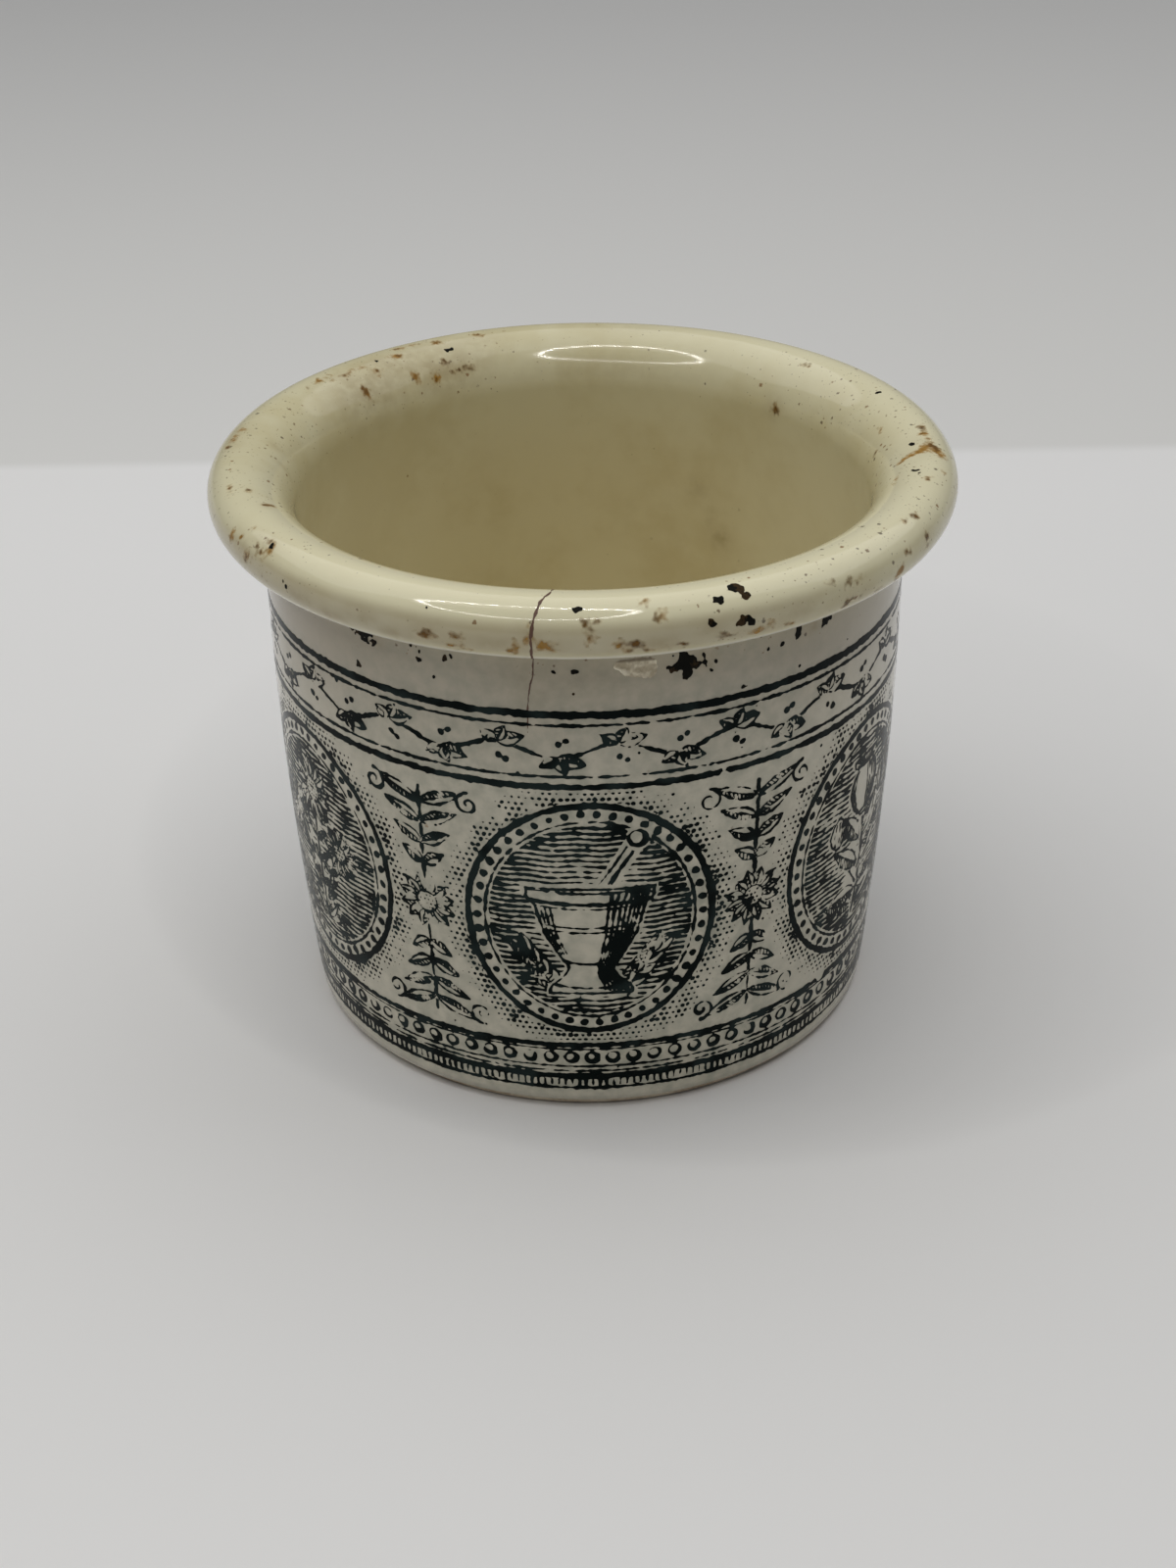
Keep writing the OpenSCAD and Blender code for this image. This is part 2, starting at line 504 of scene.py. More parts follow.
def poppy(plate, at):
    """A poppy head on its stalk with two buds and long leaves."""
    way = np.linspace(0, 1, 14)
    stalk = at + np.stack([0.35 * np.sin(3 * way), -6.4 + 8.4 * way], 1)
    stem(plate, stalk, 0.75, 0.34)
    heights = [-1.1, -0.7, 0.0, 0.8, 1.25]
    halves = [0.2, 0.7, 0.95, 0.6, 0.1]
    lines = [(share, -0.9, 0.9, 0.15) for share in (-0.5, 0.1, 0.4, 0.65, 0.85)]
    for root, bend in ((-4.0, -3.2), (-2.8, 3.4)):
        bud = at + np.stack([bend * np.sin(1.4 * way), root + 5.6 * way - 1.2 * way**2], 1)
        stem(plate, bud, 0.7, 0.26)
        turned_outline(plate, bud[-1] + (0, 0.9), heights, halves, lines)
    for side in (-1, 1):
        for root, out, rise in ((-5.6, 4.1, 1.5), (-4.4, 3.4, 0.2), (-2.4, 3.4, 2.4), (-0.4, 2.3, 2.6)):
            base = at + (0.2 * side, root)
            leaf(plate, base, base + (side * out, rise), 1.35)
    heights = [-2.2, -1.8, -1.3, 0.0, 1.2, 1.6, 1.75, 2.3]
    halves = [0.3, 0.9, 1.5, 2.05, 1.6, 0.95, 1.6, 1.75]
    shares = (-0.9, -0.75, 0.2, 0.4, 0.58, 0.74, 0.88)
    lines = [(share, -1.9, 1.5, 0.14 + 0.1 * abs(share)) for share in shares]
    head = at + (0.05, 3.6)
    half = turned_outline(plate, head, heights, halves, lines)
    for ray in np.linspace(-1.4, 1.4, 7):
        plate.stroke([head + (0.45 * ray, 1.75), head + (ray, 2.35)], 0.15)
    hoop(plate, head, half(1.65), 1.75, 0.24, 0.15)
    hoop(plate, head, half(-1.7), -1.75, 0.24, 0.15)


def camomile(plate, at):
    """Three camomile flowers on forked stalks with feathery leaves."""
    way = np.linspace(0, 1, 12)
    for lean, top, radius in ((-2.9, 1.2, 2.0), (2.9, 0.4, 1.9), (0.1, 4.0, 2.5)):
        stalk = at + np.stack([lean * way**1.6, -6.2 + (6.2 + top) * way], 1)
        stem(plate, stalk, 0.6, 0.26)
        for number in range(3, 9, 2):
            for side in (-1, 1):
                root = stalk[number]
                leaf(plate, root, root + (side * 1.35, 0.95), 0.5)
        flower(plate, stalk[-1], radius, 13)
    for side in (-1, 1):
        for rise in (0.1, 0.9, 1.8):
            root = at + (0, -6.0)
            leaf(plate, root, root + (side * (3.6 - rise), rise), 0.8)


# %% The frieze of ovals and the sprays between them
ovals = 6
oval_pitch = girth / ovals
frieze_v = 15.3
fillings = 2 * (mortar, poppy, camomile)
oval_places = [np.array([number * oval_pitch, frieze_v]) for number in range(ovals)]


def spray(plate, at):
    """An upright spray between two ovals: paired leaves, a flower in the middle, curls at both ends."""
    plate.stroke(np.linspace(at + (0, -8.6), at + (0, 8.6), 4), 0.26)
    for side in (-1, 1):
        for end in (-1, 1):
            for number in range(4):
                root = at + (0, end * (3.0 + 1.5 * number))
                out = 1.5 + 0.55 * number
                leaf(plate, root, root + (side * out, end * (0.9 + 0.1 * number)), 0.85)
            curl(plate, at + (side * 3.4, end * 8.0), 0.85, 90 * end, 1.3 * side * end, 0.24)
    flower(plate, at, 2.1, 12)


def edge_tone(x, y):
    """Dots that shrink away from an oval's outer edge."""
    gap = -oval(x, y, frame_u + 0.3, frame_v + 0.3)
    dots = stipple(x, y, 0.42, 0.16 - 0.07 * gap)
    return np.minimum(dots, np.minimum(gap, 1.6 - gap))


for centre in oval_places:
    wall_plate.cut(centre, (frame_u + 2.2, frame_v + 0.9), edge_tone)
for number in range(ovals):
    spray(wall_plate, np.array([(number + 0.5) * oval_pitch, frieze_v]))
for centre, filling in zip(oval_places, fillings):
    oval_frame(wall_plate, centre)
    filling(wall_plate, centre)
print("frieze of", ovals, "ovals,", round(oval_pitch, 2), "mm apart")

# %% The borders above and below
upper_v = 27.65
vine_waves = 18
vine_pitch = girth / vine_waves
vine_u = np.linspace(-girth / 2, girth / 2, vine_waves * 24 + 1)
vine_v = upper_v + 0.5 * np.sin(2 * np.pi * vine_u / vine_pitch)
wall_plate.stroke(np.stack([vine_u, vine_v], 1), 0.26)
for number in range(2 * vine_waves):
    side = 1 - 2 * (number % 2)
    root = np.array([(number + 0.5) * vine_pitch / 2, upper_v + 0.5 * side])
    for out, rise, breadth in ((1.7, 0.45, 0.95), (0.55, 1.05, 0.8), (-1.0, 0.6, 0.75)):
        leaf(wall_plate, root, root + (out, rise * side), breadth, hatch=0.28)
    wall_plate.dot(root + (0.1, -0.95 * side), 0.22)
    wall_plate.dot(root + (0.55, -1.2 * side), 0.2)
for v, width in ((30.1, 0.52), (29.4, 0.2), (25.9, 0.2), (25.2, 0.44)):
    wall_plate.rule(v, width)

pearls = 92
pearl_pitch = girth / pearls
for number in range(pearls):
    place = np.array([number * pearl_pitch, 4.35])
    wall_plate.dot(place, 0.52)
    wall_plate.dot(place + (-0.08, 0.1), 0.26, wipe=True)
ticks = 3 * pearls
for number in range(ticks):
    foot = np.array([number * girth / ticks, 2.0])
    wall_plate.stroke([foot, foot + (0, 0.45)], 0.2)
for v, width in ((5.4, 0.42), (5.05, 0.16), (3.6, 0.16), (3.2, 0.16), (2.75, 0.5), (1.75, 0.3)):
    wall_plate.rule(v, width)
print("borders with", 2 * vine_waves, "vine sprigs and", pearls, "pearls")

# %% [markdown]
# A pull from a worn plate is never clean: lines are ragged, ink skips where the paper did not touch,
# stray specks print, and the glaze carries a blue-grey haze away from the ink in the kiln. Soft noise
# moves the edge of every line a few hundredths of a millimetre, and a blurred copy of the ink gives the
# haze. The random numbers are seeded, so each run pulls the same print.

# %% Wear of the print
rng = np.random.default_rng(7)
specks = 260
speck_u = rng.uniform(-girth / 2, girth / 2, specks)
speck_v = rng.uniform(1.5, 31.0, specks)
speck_size = 0.05 + 0.09 * rng.random(specks) ** 3
for u, v, size in zip(speck_u, speck_v, speck_size):
    wall_plate.dot((u, v), size)
ragged = 0.028 * wall_plate.clouds(0.11, rng) + 0.022 * wall_plate.clouds(0.35, rng)
skipped = np.clip(wall_plate.clouds(3.0, rng) - 1.8, 0, None)
flaked = np.clip(wall_plate.clouds(0.6, rng) - 2.7, 0, None)
wall_plate.ink += ragged - 0.05 * skipped - 0.9 * flaked
thin_ink = np.clip(0.5 + 0.32 * wall_plate.clouds(0.5, rng) + 0.2 * wall_plate.clouds(4.0, rng), 0, 1)
haze = wall_plate.blurred((wall_plate.ink > 0).astype(float), 0.45)
print(f"ink covers {100 * (wall_plate.ink > 0).mean():.0f} percent of the wall")


# %% [markdown]
# The print is now lifted off the plate as real, very thin sheets. Each square of the grid that lies
# inside the ink becomes a face, and a square that the edge crosses is cut where the distance passes
# zero, which is the method called marching squares. All squares of one kind are done at once, with no
# loop over points.


# %% Lifting ink off a plate
def lift_ink(plate, name, skin, proud, values, rows=slice(None)):
    """Marching squares: walking round each square gives the corners inside the ink and the zero crossings
    of its sides, and those points are laid on the skin."""
    ink = plate.ink[rows]
    height, columns = ink.shape
    if plate.wraps:
        ink = np.hstack([ink, ink[:, :1]])
    inside = (ink > 0).astype(int)
    kind = inside[:-1, :-1] + 2 * inside[:-1, 1:] + 4 * inside[1:, 1:] + 8 * inside[1:, :-1]
    row, column = np.nonzero(kind)
    kind = kind[row, column]
    right = (column + 1) % columns if plate.wraps else column + 1
    level = height * columns
    upright = 2 * level
    below, above = row * columns, (row + 1) * columns
    corner_ids = [below + column, below + right, above + right, above + column]
    side_ids = [level + corner_ids[0], upright + corner_ids[1],
                level + corner_ids[3], upright + corner_ids[0]]
    walk = np.stack([ids for pair in zip(corner_ids, side_ids) for ids in pair], 1)
    loops, totals = [], []
    for case in range(1, 16):
        within = [bool(case >> corner & 1) for corner in range(4)]
        steps = []
        for corner in range(4):
            if within[corner]:
                steps.append(2 * corner)
            if within[corner] != within[(corner + 1) % 4]:
                steps.append(2 * corner + 1)
        faces = walk[kind == case][:, steps]
        loops.append(faces.ravel())
        totals.append(np.full(len(faces), len(steps)))
    used, loops = np.unique(np.concatenate(loops), return_inverse=True)
    side, place = used // level, used % level
    row, column = place // columns, place % columns
    here = ink[row, column]
    next_row = row + (side == 2)
    next_column = column + (side == 1)
    there = ink[next_row, next_column]
    share = np.where(side == 0, 0.0, here / np.where(side == 0, 1.0, here - there))
    u = plate.u[column] + share * (side == 1) * plate.cell_u
    v = plate.v[rows][row] + share * (side == 2) * plate.cell_v
    flat = np.stack([(u - plate.u[0]) / plate.girth, (v - plate.v[0]) / (plate.v[-1] - plate.v[0])], 1)
    piece = mesh_piece(name, skin(u, v, proud), loops, np.concatenate(totals), flat)
    for label, grid in values.items():
        point_values(piece, label, grid[rows][row, column])
    return piece


wall_s = np.linspace(0, ends["wall"], 200)
wall_z = np.interp(wall_s, skin_s, skin_z)


def on_wall(u, v, proud):
    """A place on the print laid on the wall: girth becomes angle, and height becomes distance up it."""
    return on_glaze(u / belly_r, np.interp(v, wall_z, wall_s), proud)


print_proud = 0.012
bands = {
    "print_lower_border": (0.0, 6.1),
    "print_frieze_low": (6.1, 15.3),
    "print_frieze_high": (15.3, 24.6),
    "print_upper_border": (24.6, 40.0),
}
prints = []
for name, (low, high) in bands.items():
    first, last = np.searchsorted(wall_plate.v, (low, high))
    rows = slice(first, min(last + 1, len(wall_plate.v)))
    prints.append(lift_ink(wall_plate, name, on_wall, print_proud, {"thin_ink": thin_ink}, rows))

# %% [markdown]
# The glaze is one glass skin over the whole pot, so it is one closed shell. Its face runs from the foot
# up the wall, over the rim and down to the middle of the floor, and its back follows the clay a glaze's
# depth inside. Turning a line about the axis gives such a shell, with a point at each end of the line to
# close it.

# %% Rings of the shell
around = 360
face_rings = {"wall": 72, "tie": 7, "bead": 40, "flare": 30, "inside": 44, "corner": 14, "floor": 9}
back_rings = {"wall": 10, "tie": 4, "bead": 8, "flare": 8, "inside": 8, "corner": 5, "floor": 2}


def ring_places(counts):
    """Distances along the skin: each stretch from the last one's end to its own in equal steps."""
    places, start = [], 0.0
    for name, end in ends.items():
        places.append(np.linspace(start, end, counts[name], endpoint=False))
        start = end
    return np.concatenate(places)


arris_s = arris + np.array([-0.16, -0.08, 0.0, 0.08, 0.16])
face_s = np.sort(np.concatenate([ring_places(face_rings), arris_s]))
back_s = ring_places(back_rings)
back_s = back_s[np.abs(back_s - arris) > 0.35][::-1]
turn = np.linspace(-np.pi, np.pi, around, endpoint=False)
face_points = on_glaze(turn[None, :], face_s[:, None] + 0 * turn[None, :])
back_gap = 0.02
back_points = on_skin(turn[None, :], back_s[:, None] + 0 * turn[None, :], back_gap - glaze_t)
shell = np.concatenate([back_points, face_points])
print("shell of", len(shell), "rings of", around, "points")


# %% The glaze shell
def turned_shell(name, rings, first_pole, last_pole):
    """Quads between neighbouring rings and a fan of triangles from each end ring to its pole."""
    count, size = rings.shape[:2]
    ids = np.arange(count * size).reshape(count, size)
    beside = np.roll(ids, -1, axis=1)
    quads = np.stack([ids[:-1], beside[:-1], beside[1:], ids[1:]], -1).reshape(-1, 4)
    south, north = count * size, count * size + 1
    start_fan = np.stack([np.full(size, south), beside[0], ids[0]], -1)
    end_fan = np.stack([np.full(size, north), ids[-1], beside[-1]], -1)
    loops = np.concatenate([quads.ravel(), start_fan.ravel(), end_fan.ravel()])
    totals = np.concatenate([np.full(len(quads), 4), np.full(2 * size, 3)])
    points = np.concatenate([rings.reshape(-1, 3), [first_pole, last_pole]])
    height = np.linspace(0, 1, count)[:, None] + np.zeros(size)
    girth_share = np.arange(size)[None, :] / size + np.zeros((count, 1))
    flat = np.concatenate([np.stack([girth_share, height], -1).reshape(-1, 2), [[0.5, 0.0], [0.5, 1.0]]])
    return mesh_piece(name, points, loops, totals, flat)


axis_back = np.array([0, 0, (floor_t - glaze_t + back_gap) * MM])
axis_face = np.array([0, 0, floor_t * MM])
glaze = turned_shell("glaze_skin", shell, axis_back, axis_face)


# %% What the finish needs to know of each place
def shell_values(name, field):
    """A number for every point of the shell: none on its back, the field on its face, and for the pole in
    the middle of the floor the mean of the ring round it."""
    back = np.zeros(back_points.shape[0] * around)
    point_values(glaze, name, np.concatenate([back, field.ravel(), [0, field[-1].mean()]]))


def smooth(low, high, value):
    """A smooth step from 0 at low to 1 at high: three squares less two cubes."""
    t = np.clip((value - low) / (high - low), 0, 1)
    return t * t * (3 - 2 * t)


def band(rise, fall, value):
    """1 between two smooth steps: up over the first span and down over the second."""
    return smooth(*rise, value) * (1 - smooth(*fall, value))


face_theta = turn[None, :] + 0 * face_s[:, None]
face_way = face_s[:, None] + 0 * turn[None, :]
past_arris = face_way - arris
shell_values("outside", 1 - smooth(-6.5, 0.5, past_arris))
# a pale line at the arris: partly the body showing through thin glaze, partly a painted highlight where the
# edge catches the light
shell_values("thin_edge_glint", band((-0.2, 0.0), (0.5, 0.95), past_arris))
pooled = smooth(ends["flare"] - 2.5, ends["flare"] + 7.0, face_way)
shell_values("pooled", pooled)

# ink bleeds into the glaze beside the print, and below the rim the glaze is darkened a little all round and
# more towards the front
haze_top = 31.0
face_z = np.interp(face_way, skin_s, skin_z)
beside_ink = haze[wall_plate.nearest(face_theta * belly_r, face_z)]
beside_ink = np.where((face_way < ends["wall"]) & (face_z < haze_top), beside_ink, 0)
in_front = smooth(0.55, 0.95, np.cos(face_theta))
ink_haze = beside_ink + (0.05 + 0.5 * in_front) * (1 - smooth(-4.0, -0.5, past_arris))
shell_values("ink_haze", ink_haze)

# painted shade under the rim, deeper on the left, and low on the front of the bead; painted light on the
# bead's crest and the inner side walls
shade_under_rim = band((-13.0, -4.0), (-0.3, 0.0), past_arris) * (1 + 0.4 * smooth(0.3, 0.9, -np.sin(face_theta)))
shade_low_bead = band((0.8, 1.3), (2.6, 3.4), past_arris) * smooth(0.3, 0.85, np.cos(face_theta + radians(20)))
shell_values("painted_rim_shade", shade_under_rim + 0.75 * shade_low_bead)
# painted light: the bead's crest is lighter towards the front right, where it faces the light, and the
# inner side walls are lighter than the back
painted_light_end = (ends["bead"] - arris, ends["flare"] - 1.5 - arris)
painted_light = smooth(-0.9, 0.2, np.cos(face_theta - radians(50))) * band((2.6, 3.4), painted_light_end, past_arris)
shell_values("painted_light", painted_light + 0.5 * smooth(0.35, 0.95, np.abs(np.sin(face_theta))) * pooled)
print(f"haze up to {ink_haze.max():.2f}")

# %% [markdown]
# Use and burial have left their marks: soft stains beside the crack, round the mouth, inside it and
# along the bead, and brown specks that gather on the rim. Each stained patch is a bell-shaped spot at an
# angle from the front and a distance along the skin. The specks are left to the finish, which is told
# where they crowd.

# %% Stained patches
# degrees from the front, mm along the skin, half length round, half length up, strength
patches = (
    (-7.6, 38.2, 1.1, 1.2, 0.55), (-5.0, 37.8, 1.3, 0.7, 0.45), (3.0, 37.3, 3.5, 0.4, 0.3),
    (-18, 37.6, 2.2, 0.6, 0.4), (-54, 39.8, 1.5, 0.9, 0.4), (-60, 39.1, 1.8, 0.8, 0.45),
    (-96, 40.8, 2.6, 0.8, 0.5), (-132, 44.0, 5.0, 2.2, 0.9), (-150, 44.2, 5.0, 1.8, 1.0),
    (-141, 43.2, 6.5, 1.8, 0.85), (-158, 42.5, 3.0, 1.0, 0.5), (86, 41.9, 2.0, 1.2, 0.35),
    (60, 38.6, 1.4, 1.0, 0.35), (42, 37.8, 2.5, 0.6, 0.4), (134, 46.3, 1.1, 0.9, 0.6),
    (-9, 31.5, 2.2, 2.2, 0.3), (2, 31.6, 4.5, 1.8, 0.2), (147.7, 57.5, 1.0, 0.8, 1.0),
    (172, 41.5, 4.0, 0.8, 0.3), (153.7, 54.0, 1.0, 0.9, 0.5), (150.3, 56.2, 0.8, 1.2, 0.45),
    (-96, 43.6, 0.5, 0.6, 0.5), (-91, 44.7, 0.4, 0.8, 0.5), (-131, 45.6, 0.6, 0.6, 0.45),
    (-140, 45.4, 0.5, 0.5, 0.4), (-65.6, 42.3, 0.5, 0.4, 0.4), (176, 45.3, 9.0, 1.4, 0.35),
    (-44, 38.0, 1.3, 0.6, 0.8), (-38, 37.5, 1.5, 0.5, 0.9), (-32, 38.2, 1.2, 0.6, 0.7),
    (-27, 37.5, 1.4, 0.5, 0.9), (-22, 38.3, 1.0, 0.6, 0.6), (-12, 37.9, 1.4, 0.5, 0.6),
    (10, 37.8, 1.5, 0.6, 0.7), (17, 38.4, 1.1, 0.5, 0.55), (24, 37.6, 1.5, 0.5, 0.75),
    (31, 38.2, 1.1, 0.6, 0.6), (40.2, 32.5, 0.9, 0.45, 1.0), (19.6, 32.3, 0.8, 0.6, 0.9),
    (-36.5, 32.5, 0.8, 0.3, 0.8),
)
stain = np.zeros_like(face_way)
for degrees, place, half_round, half_up, strength in patches:
    turn_gap = (face_theta - radians(degrees) + np.pi) % (2 * np.pi) - np.pi
    spot = (turn_gap * rim_r / half_round) ** 2 + ((face_way - place) / half_up) ** 2
    stain = np.maximum(stain, strength * np.exp(-spot))
shell_values("stain", stain)

rim_band = band((arris, arris + 1.5), (ends["flare"] - 2.5, ends["flare"] + 1), face_way)
sides = 0.55 + 0.45 * np.cos(2 * (face_theta + radians(100)))
below_rim = np.exp(-(((past_arris + 2.5) / 1.6) ** 2))
shell_values("crowd", 0.03 + 0.9 * rim_band * sides + 0.25 * below_rim)
print(len(patches), "stained patches")

# %% [markdown]
# Black iron spots, rust stains, the hairline crack and a flaked chip are sharper. They are drawn on
# plates of their own, laid on the rim, and lifted off as the print is. A spot is an oval with an edge
# eaten by noise.

# %% Iron spots
mark_r = rim_r
mark_proud = 0.01
rim_plate = Plate((-np.pi * mark_r, np.pi * mark_r), (29.0, 46.0), 0.06, wraps=True)


def blot(plate, degrees, place, half_round, half_up):
    """An oval blot: the smaller half length times one less the oval's level."""
    size = min(half_round, half_up)
    reach = (half_round + 0.5, half_up + 0.5)
    plate.cut((radians(degrees) * mark_r, place), reach,
              lambda x, y: size * (1 - np.sqrt((x / half_round) ** 2 + (y / half_up) ** 2)))


def on_rim(u, v, proud):
    """A place on the rim's plate: girth becomes angle, and v is already a distance along the skin."""
    return on_glaze(u / mark_r, v, proud)


# degrees from the front, mm along the skin, half length round, half length up
iron_spots = (
    (21.8, 40.5, 0.5, 0.44), (19.0, 40.0, 0.36, 0.26), (22.9, 39.9, 0.22, 0.16),
    (17.4, 38.75, 0.26, 0.26), (22.0, 38.5, 0.46, 0.34), (22.9, 38.25, 0.3, 0.28),
    (-1.1, 40.1, 0.2, 0.18), (16.3, 32.35, 0.68, 0.58), (16.4, 31.75, 0.4, 0.5),
    (14.2, 32.1, 0.4, 0.24), (17.8, 32.1, 0.4, 0.26), (15.6, 32.85, 0.5, 0.22),
    (21.2, 32.1, 0.15, 0.14), (19.4, 32.4, 0.15, 0.4), (20.4, 31.6, 0.12, 0.12), (26.9, 30.0, 0.3, 0.1),
    (37.3, 32.5, 0.24, 0.5), (34.1, 32.1, 0.14, 0.14), (31.1, 32.0, 0.12, 0.12), (43.9, 32.5, 0.5, 0.3),
    (-39.6, 32.7, 0.8, 0.24), (-37.8, 32.3, 0.5, 0.14), (-40.8, 30.4, 0.3, 0.34),
    (-46.5, 38.3, 0.13, 0.16), (-47.2, 38.6, 0.13, 0.16), (-52.7, 40.2, 0.15, 0.14),
    (-28.4, 32.85, 0.22, 0.12), (-27.8, 32.65, 0.12, 0.2), (-28.1, 32.0, 0.14, 0.13),
    (-23.1, 32.5, 0.13, 0.12), (-22.1, 32.65, 0.09, 0.14), (-25.4, 31.1, 0.1, 0.09),
    (-5.3, 32.3, 0.06, 0.06), (-2.2, 32.35, 0.2, 0.06), (-1.9, 30.9, 0.12, 0.15),
    (29.6, 33.0, 0.1, 0.1), (-22.1, 39.6, 0.16, 0.12), (-138.1, 42.2, 0.28, 0.16),
    (-153.0, 42.9, 0.32, 0.14), (111.9, 41.95, 0.2, 0.17), (88.4, 42.4, 0.24, 0.17),
    (76.3, 41.95, 0.3, 0.38), (75.2, 41.8, 0.16, 0.14), (-60.5, 40.7, 0.12, 0.12),
    (120, 32.4, 0.5, 0.4), (-100, 33.0, 0.4, 0.2), (175, 39.8, 0.25, 0.2), (-170, 31.2, 0.3, 0.24),
    (150, 33.2, 0.3, 0.14),
)
for spot in iron_spots:
    blot(rim_plate, *spot)
rim_plate.ink += 0.06 * rim_plate.clouds(0.09, rng) + 0.045 * rim_plate.clouds(0.25, rng)
rust = np.clip(0.5 + 0.4 * rim_plate.clouds(0.3, rng), 0, 1)
spots = lift_ink(rim_plate, "iron_spots", on_rim, mark_proud, {"rust": rust})

# %% [markdown]
# Rust has soaked into the glaze, so its stains have no hard edge. The sheet carries how deep each point
# lies inside a stain, and its finish fades from clear to rust by that depth.

# %% Rust stains
rust_plate = Plate((-np.pi * mark_r, np.pi * mark_r), (36.6, 47.2), 0.07, wraps=True)
# degrees from the front, mm along the skin, half length round, half length up
rust_blots = (
    (-9.7, 38.0, 0.3, 0.45), (-10.1, 37.5, 0.32, 0.28), (-7.8, 38.4, 0.3, 0.7), (-5.2, 37.9, 0.6, 0.36),
    (-4.4, 37.6, 0.4, 0.3), (0.1, 38.9, 0.28, 0.66), (0.5, 38.45, 0.3, 0.3), (1.7, 39.35, 0.24, 0.24),
    (4.5, 37.95, 0.4, 0.3), (6.8, 37.9, 0.4, 0.24), (6.1, 37.4, 0.28, 0.25), (8.4, 37.35, 0.26, 0.2),
    (5.9, 37.15, 0.22, 0.2), (11.1, 37.35, 0.36, 0.24), (13.4, 37.5, 0.34, 0.28),
    (10.1, 39.45, 0.32, 0.3), (8.4, 40.5, 0.24, 0.18), (19.9, 37.65, 0.6, 0.22), (24.1, 37.5, 0.5, 0.3),
    (26.7, 37.75, 0.36, 0.24), (29.2, 37.5, 0.5, 0.22), (-17.7, 38.1, 0.5, 0.34),
    (-18.4, 37.4, 0.9, 0.18), (-16.4, 37.15, 0.4, 0.16), (-21.8, 37.95, 0.6, 0.34),
    (-52.9, 39.4, 0.32, 0.3), (-60.3, 39.5, 0.3, 0.3), (-63.0, 39.1, 0.34, 0.3),
    (-57.0, 38.7, 0.4, 0.3), (-59.0, 40.5, 0.2, 0.16), (-74.3, 40.7, 0.8, 0.18),
    (-72.3, 41.9, 0.4, 0.18), (-66.3, 42.5, 0.36, 0.55), (-98.2, 41.0, 0.5, 0.3),
    (-95.0, 40.8, 0.9, 0.2), (-91.7, 40.6, 0.6, 0.2), (87.2, 41.2, 0.5, 0.42), (83.0, 42.9, 0.42, 0.36),
    (-124.0, 41.9, 1.6, 0.16), (-130.0, 42.35, 1.6, 0.18), (-130.7, 44.35, 0.5, 0.7),
    (-136.1, 43.1, 0.45, 0.32), (-142.4, 42.3, 0.6, 0.32), (-143.5, 44.4, 0.45, 0.5),
    (-147.9, 44.9, 0.4, 0.5), (-146.6, 41.4, 1.2, 0.16), (-151.7, 41.85, 0.8, 0.28),
    (-151.0, 43.85, 0.5, 0.36), (-155.9, 44.5, 0.5, 0.34), (-153.2, 44.6, 0.5, 0.26),
    (-160.0, 41.75, 0.5, 0.32), (77.3, 40.25, 0.34, 0.28), (73.3, 41.1, 0.36, 0.18),
    (59.7, 40.35, 0.36, 0.28), (60.6, 41.1, 0.28, 0.2), (57.1, 40.5, 0.26, 0.2),
    (59.4, 38.85, 0.3, 0.5), (53.1, 38.9, 0.28, 0.22), (51.0, 37.9, 0.42, 0.6),
    (41.7, 38.85, 0.45, 0.24), (39.6, 38.95, 0.32, 0.22), (41.0, 37.75, 0.5, 0.3),
    (39.0, 37.6, 0.32, 0.34), (46.5, 37.5, 0.42, 0.28), (35.9, 39.25, 0.36, 0.2),
    (74.4, 43.35, 0.7, 0.16), (99.9, 43.85, 0.45, 0.36), (94.9, 44.75, 0.36, 0.3),
    (131.9, 42.65, 0.36, 0.28), (133.8, 46.4, 0.42, 0.36), (118, 38.4, 0.5, 0.3), (152, 37.8, 0.7, 0.3),
    (171, 38.8, 0.4, 0.3), (-110, 38.0, 0.6, 0.4), (-176, 37.6, 0.8, 0.24),
)
for spot in rust_blots:
    blot(rust_plate, *spot)
# the lines of rust that run over the right of the rim, and the ring on its left: width, then places
rust_lines = (
    (0.82, (82.9, 43.0), (84.0, 42.1), (87.2, 41.2), (83.2, 40.65)),
    (0.56, (95.0, 41.35), (92.0, 41.4), (89.8, 41.2)),
    (0.34, (-55.2, 39.75), (-54.4, 40.3), (-53.0, 40.4), (-52.0, 40.0), (-53.0, 39.4), (-54.6, 39.35),
     (-55.2, 39.75)),
)
for width, *course in rust_lines:
    rust_plate.stroke([(radians(degrees) * mark_r, place) for degrees, place in course], width)
rust_plate.ink += 0.09 * rust_plate.clouds(0.09, rng) + 0.07 * rust_plate.clouds(0.22, rng) + 0.05
rust_values = {"depth": rust_plate.ink, "rust": np.clip(0.5 + 0.4 * rust_plate.clouds(0.5, rng), 0, 1)}
stains = lift_ink(rust_plate, "rust_stains", on_rim, 0.5 * mark_proud, rust_values)

